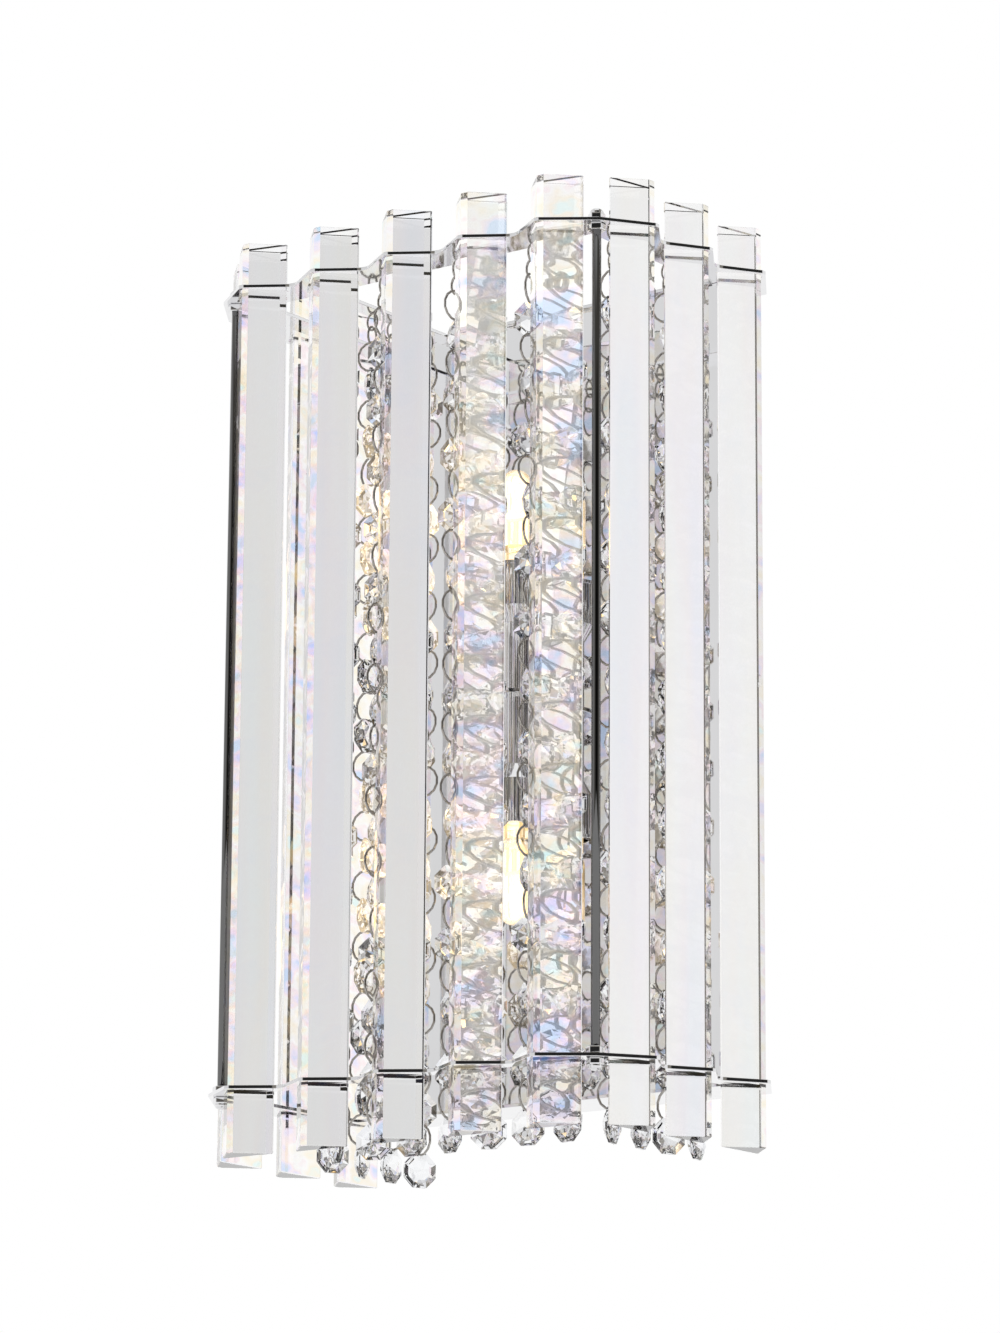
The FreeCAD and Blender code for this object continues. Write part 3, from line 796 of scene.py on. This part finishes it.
def solid_boxes(node):
    """Lowest and highest corner of each separate solid of a CAD node."""
    shape = merged_copy(node)
    seen = set()
    boxes = []
    for start in shape.verts:
        group = [] if start in seen else [start]
        seen.add(start)
        for vert in group:
            linked = [edge.other_vert(vert) for edge in vert.link_edges]
            group += [other for other in linked if other not in seen]
            seen.update(linked)
        if group:
            boxes.append([Vector([pick(v.co[i] for v in group) for i in range(3)]) for pick in (min, max)])
    shape.free()
    return boxes


def hexagon_nut(name, width, height, dome):
    """Six-sided nut with its underside on Z = 0; a cap nut has a dome on top."""
    radius = width / math.sqrt(3)
    shape = bmesh.new()
    rings = []
    for level, share in ((0.0, 0.94), (0.14, 1.0), (0.86, 1.0), (1.0, 0.93)):
        rings.append([shape.verts.new((radius * share * math.cos(t), radius * share * math.sin(t),
                                       height * level)) for t in around(6, math.pi / 6)])
    skin(shape, rings)
    shape.faces.new(rings[0])
    shape.faces.new(rings[-1])
    if dome:
        steps = ((0.8, 0.3), (0.7, 0.62), (0.5, 0.86), (0.25, 0.97), (0, 1))
        join_in(shape, lathe([(0, height * 0.8), (radius * 0.8, height * 0.8),
                              *[(radius * share, height + dome * rise) for share, rise in steps]], 20))
    return from_bmesh(name, facing_out(shape))


def screw_pattern():
    """Pan-head screw pointing down, the underside of its head on Z = 0."""
    profile = [(0, -0.006), (0.0012, -0.0058), (0.0015, -0.0052), (0.0015, 0), (0.0029, 0),
               (0.003, 0.0004), (0.0029, 0.0011), (0.0025, 0.0017), (0.0018, 0.0021), (0.0009, 0.00218),
               (0, sizes().screw_head)]
    return from_bmesh("screw_pattern", lathe(profile, 16), smooth=True)


class SCONCE_OT_fasteners(bpy.types.Operator):
    """Make the corner rods, cap nuts, lock nuts and screws"""
    bl_idname = "sconce.fasteners"
    bl_label = "Rods and Fasteners"

    def execute(self, context):
        self.rods()
        self.nuts()
        self.screws()
        return {"FINISHED"}

    def rods(self):
        boxes = solid_boxes("corner_rods")
        low, high = boxes[0]
        radius = (high.x - low.x) / 2
        end = high.z
        profile = [(0, -end), (radius * 0.8, -end), (radius, -end + 0.0004), (radius, end - 0.0004),
                   (radius * 0.8, end), (0, end)]
        pattern = from_bmesh("rod_pattern", lathe(profile, 24), smooth=True)
        points = [((a + b) / 2, Vector()) for a, b in boxes]
        piece = repeated("corner_rods_round", pattern, points, finish("rod_chrome"))
        finish_piece(piece, "fixture", "rod_chrome", "corner_rods")

    def nuts(self):
        for node, name, domed in (("cap_nuts", "cap_nuts_domed", True),
                                  ("lock_nuts", "lock_nuts_plain", False)):
            boxes = solid_boxes(node)
            low, high = boxes[0]
            width = min(high.x - low.x, high.y - low.y)
            tall = high.z - low.z
            hexagon_share = 0.56 if domed else 1.0
            height = tall * hexagon_share
            pattern = hexagon_nut(name + "_pattern", width, height, tall - height)
            points = []
            for low, high in boxes:
                up = low.z > 0 or not domed
                place = (low + high) / 2
                place.z = low.z if up else high.z
                points.append((place, Vector((0 if up else math.pi, 0, 0))))
            piece = repeated(name, pattern, points, finish("fastener_chrome"))
            bevel_edges(piece, 0.0002, 1)
            finish_piece(piece, "fixture", "fastener_chrome", node)

    def screws(self):
        head = sizes().screw_head
        points = []
        for low, high in solid_boxes("screws"):
            place = (low + high) / 2
            reach = high - low
            if reach.z > max(reach.x, reach.y):
                up = place.z > 0
                place.z = high.z - head if up else low.z + head
                turn = Vector((0 if up else math.pi, 0, 0))
            elif reach.x > reach.y:
                right = place.x > 0
                place.x = high.x - head if right else low.x + head
                turn = Vector((0, math.pi / 2 if right else -math.pi / 2, 0))
            else:
                place.y = low.y + head
                turn = Vector((math.pi / 2, 0, 0))
            points.append((place, turn))
        piece = repeated("screws_pan_head", screw_pattern(), points, finish("fastener_chrome"))
        finish_piece(piece, "fixture", "fastener_chrome", "screws")


# ---- back box -----------------------------------------------------------------------------------

class SCONCE_OT_back_box(bpy.types.Operator):
    """Make the mirror-bright back box, the wall bracket and the terminal block"""
    bl_idname = "sconce.back_box"
    bl_label = "Back Box"

    def execute(self, context):
        refined("back_box", "back_box_cover", "box_mirror", bevel=0.0006, segments=3)
        refined("wall_bracket", "wall_bracket_strip", "zinc_steel", bevel=0.0002)
        refined("terminal_block", "terminal_block_body", "white_plastic", bevel=0.0004)
        return {"FINISHED"}


# ---- lamps --------------------------------------------------------------------------------------

class SCONCE_OT_lamps(bpy.types.Operator):
    """Make the lamp bracket, the two lampholders and the two lit capsule lamps"""
    bl_idname = "sconce.lamps"
    bl_label = "Lamps"

    def execute(self, context):
        refined("lamp_bracket", "lamp_bracket_strip", "lamp_chrome", bevel=0.0003)
        for word, hand in (("upper", 1), ("lower", -1)):
            self.holder(word, hand)
            self.lamp(word, hand)
        return {"FINISHED"}

    def axis_place(self):
        low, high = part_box("bulb_upper_glass")
        return Vector(((low.x + high.x) / 2, (low.y + high.y) / 2, 0))

    def upright(self, shape, hand):
        """The lower lamp is the upper one turned over."""
        if hand < 0:
            place = self.axis_place()
            bmesh.ops.rotate(shape, verts=shape.verts, cent=place, matrix=Matrix.Rotation(math.pi, 3, "Y"))
        return shape

    def holder(self, word, hand):
        """A stem that widens to a cup with a lip round its mouth; one of the two has the nipple that
        joins them through the bracket."""
        node = "lampholder_" + word
        low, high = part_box(node)
        mouth = max(abs(low.z), abs(high.z))
        base = 0.001
        lip = (high.x - low.x) / 2 / FACET_FIT
        cup = lip - 0.0008
        nipple, stem, recess = 0.00475, 0.0065, 0.0085
        shoulder = base + 0.030
        floor = mouth - 0.006
        foot = [(0, base), (stem, base)]
        if low.z < 0 < high.z:
            foot = [(0, -base), (nipple, -base), (nipple, base), (stem, base)]
        profile = foot + [(stem, shoulder), (stem + 0.0003, shoulder + 0.0006),
                          (cup - 0.0008, shoulder + 0.0062), (cup, shoulder + 0.0074), (cup, mouth - 0.0016),
                          (lip, mouth - 0.0014), (lip, mouth - 0.0002), (lip - 0.0003, mouth),
                          (recess + 0.0003, mouth), (recess, mouth - 0.0003), (recess, floor), (0, floor)]
        shape = lathe(profile, 40, self.axis_place())
        piece = from_bmesh(node + "_turned", self.upright(shape, hand), finish("lamp_chrome"), smooth=True)
        piece.data.set_sharp_from_angle(angle=math.radians(30))
        finish_piece(piece, body_of(node), "lamp_chrome", node)

    def lamp(self, word, hand):
        """A hollow capsule with a rounded tip on a flat pinch."""
        node = "bulb_%s_glass" % word
        low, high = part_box(node)
        far = max(abs(low.z), abs(high.z))
        near = min(abs(low.z), abs(high.z))
        pinch_height, pinch_width, pinch_thickness = 0.0116, 0.012, 0.0046
        neck = near + 0.013
        radius = (high.x - low.x) / 2 / FACET_FIT
        inside = radius - 0.001
        place = self.axis_place()

        def tip(reach):
            return [(reach * math.cos(t), far - radius + reach * math.sin(t))
                    for t in [math.radians(a) for a in (20, 40, 58, 74)]]

        outer = [(0, neck - 0.002), (radius * 0.5, neck - 0.0018), (radius * 0.8, neck - 0.0002),
                 (radius * 0.97, neck + 0.002), (radius, neck + 0.004), (radius, far - radius),
                 *tip(radius), (0, far)]
        inner = [(0, neck + 0.001), (inside * 0.7, neck + 0.0016), (inside, neck + 0.0042),
                 (inside, far - radius), *tip(inside), (0, far - 0.001)]
        shape = lathe(outer, 32, place)
        hollow = lathe(inner, 32, place)
        bmesh.ops.reverse_faces(hollow, faces=hollow.faces)
        join_in(shape, hollow)
        for v in bmesh.ops.create_cube(shape, size=1.0)["verts"]:
            v.co = place + Vector((v.co.x * pinch_width, v.co.y * pinch_thickness,
                                   near + pinch_height / 2 + v.co.z * pinch_height))
        piece = from_bmesh(node + "_capsule", self.upright(shape, hand), finish("lamp_glass"), smooth=True)
        piece.data.set_sharp_from_angle(angle=math.radians(35))
        finish_piece(piece, body_of(node), "lamp_glass", node)
        wires = frame["nodes"]["bulb_%s_wires" % word].data.materials
        wires.clear()
        wires.append(finish("lamp_wire"))


# ---- stage --------------------------------------------------------------------------------------

def camera_turn(yaw, pitch, roll):
    """Rotation of a camera from its yaw about the vertical, pitch above the horizon and roll."""
    right = Vector((1, 0, 0))
    up = Vector((0, -math.sin(pitch), math.cos(pitch)))
    forward = Vector((0, math.cos(pitch), math.sin(pitch)))
    rolled_right = math.cos(roll) * right + math.sin(roll) * up
    rolled_up = math.cos(roll) * up - math.sin(roll) * right
    back_turn = Matrix.Rotation(yaw, 3, "Z").transposed()
    axes = [back_turn @ axis for axis in (rolled_right, rolled_up, -forward)]
    return Matrix(axes).transposed()


def aimed_share(tree, direction, azimuth, elevation, inner, outer):
    """1 inside a cone of the sky round a direction, falling to 0 at its outer edge (degrees)."""
    a, e = math.radians(azimuth), math.radians(elevation)
    towards = (math.sin(a) * math.cos(e), -math.cos(a) * math.cos(e), math.sin(e))
    return ranged(tree, vector_measure(tree, "DOT_PRODUCT", direction, towards),
                  math.cos(math.radians(outer)), math.cos(math.radians(inner)), kind="SMOOTHSTEP")


def eye_rays(tree):
    """Two switches: 1 for what the camera sees directly, and 1 for that and what it sees in metal or
    through glass."""
    rays = add(tree, "ShaderNodeLightPath").outputs
    seen = rays["Is Camera Ray"]
    for kind in ("Is Glossy Ray", "Is Transmission Ray"):
        seen = arithmetic(tree, "ADD", seen, rays[kind], clamp=True)
    return rays["Is Camera Ray"], seen


def background(tree, shade, strength):
    return add(tree, "ShaderNodeBackground", {"Color": shade, "Strength": strength}).outputs[0]


def studio_sky(level):
    """Dim warm room with soft boxes for metal and glass, even white light for the rest, and plain white
    to the camera."""
    world = bpy.data.worlds.new("studio")
    bpy.context.scene.world = world
    world.use_nodes = True
    tree = world.node_tree
    tree.nodes.clear()
    direction = add(tree, "ShaderNodeTexCoord").outputs["Generated"]
    shade = (*ROOM, 1)
    for azimuth, elevation, inner, outer, grey in SOFT_BOXES:
        share = aimed_share(tree, direction, azimuth, elevation, inner, outer)
        shade = mixed(tree, share, shade, (grey, grey, grey, 1))
    camera, seen = eye_rays(tree)
    shown = background(tree, mixed(tree, camera, shade, WHITE), 1.0)
    both = mixed_shaders(tree, seen, background(tree, WHITE, level), shown)
    add(tree, "ShaderNodeOutputWorld", {"Surface": both})


def pale_floor_material(tint):
    """Pale floor whose lit share, which carries the shadow, gives way to plain white further out."""
    material, tree, shader = new_material("pale_floor")
    fill(tree, shader, {"Base Color": (*tint, 1.0), "Roughness": 0.9, "Specular IOR Level": 0.0})
    white_near, fade_start, fade_end = 0.45, 1.8, 4.5
    far = ranged(tree, vector_measure(tree, "LENGTH", own_place(tree)), fade_start, fade_end, white_near)
    white = add(tree, "ShaderNodeEmission", {"Color": WHITE})
    share = arithmetic(tree, "MULTIPLY", far, eye_rays(tree)[1])
    both = mixed_shaders(tree, share, shader.outputs[0], white.outputs[0])
    fill(tree, tree.nodes["Material Output"], {"Surface": both})
    return material


class SCONCE_OT_stage(bpy.types.Operator):
    """Set up the camera, the studio light and the floor"""
    bl_idname = "sconce.stage"
    bl_label = "Stage"

    def execute(self, context):
        scene = context.scene
        values = scene.sconce_stage
        data = bpy.data.cameras.new("camera")
        data.lens = values.lens
        data.sensor_width = 36.0
        data.clip_start = 0.05
        camera = bpy.data.objects.new("camera", data)
        scene.collection.objects.link(camera)
        turn = camera_turn(values.camera_yaw, values.camera_pitch, values.camera_roll)
        camera.matrix_world = Matrix.Translation(Vector(values.camera_place)) @ turn.to_4x4()
        scene.camera = camera
        scene.view_settings.view_transform = "Standard"
        studio_sky(values.light_level)
        self.floor(values)
        self.light(scene, values)
        return {"FINISHED"}

    def floor(self, values):
        shape = bmesh.new()
        bmesh.ops.create_grid(shape, x_segments=1, y_segments=1, size=12.0)
        bmesh.ops.translate(shape, verts=shape.verts, vec=(0, 0, -values.floor_drop))
        floor = from_bmesh("floor", shape, pale_floor_material(values.floor))

    def light(self, scene, values):
        data = bpy.data.lights.new("soft_light", "AREA")
        data.shape = "DISK"
        data.size = values.light_width
        data.energy = values.light_power
        lamp = bpy.data.objects.new("soft_light", data)
        scene.collection.objects.link(lamp)
        lamp.location = values.light_place
        lamp.rotation_euler = (-Vector(lamp.location)).to_track_quat("-Z", "Y").to_euler()
        lamp.visible_glossy = False
        lamp.visible_transmission = False


# ---- panel and main -----------------------------------------------------------------------------

OPERATORS = (SCONCE_OT_prism_bars, SCONCE_OT_strands, SCONCE_OT_frames, SCONCE_OT_fasteners,
             SCONCE_OT_back_box, SCONCE_OT_lamps, SCONCE_OT_stage)
GROUPS = {"sconce_sizes": SconceSizes, "sconce_finishes": SconceFinishes, "sconce_stage": SconceStage}


class SCONCE_PT_panel(bpy.types.Panel):
    """Lists the pieces of the sconce and their sizes and finishes"""
    bl_idname = "SCONCE_PT_panel"
    bl_label = "Crystal Wall Sconce"
    bl_space_type = "VIEW_3D"
    bl_region_type = "UI"
    bl_category = "Sconce"

    def draw(self, context):
        layout = self.layout
        for operator in OPERATORS:
            layout.operator(operator.bl_idname)
        for name, group in GROUPS.items():
            box = layout.box()
            for value in group.__annotations__:
                box.prop(getattr(context.scene, name), value)


CLASSES = (*GROUPS.values(), *OPERATORS, SCONCE_PT_panel)


def register():
    for item in CLASSES:
        bpy.utils.register_class(item)
    for name, group in GROUPS.items():
        setattr(bpy.types.Scene, name, PointerProperty(type=group))


def unregister():
    for name in GROUPS:
        delattr(bpy.types.Scene, name)
    for item in reversed(CLASSES):
        bpy.utils.unregister_class(item)


def main():
    register()
    for operator in OPERATORS:
        group, name = operator.bl_idname.split(".")
        getattr(getattr(bpy.ops, group), name)()


if __name__ == "__main__":
    main()
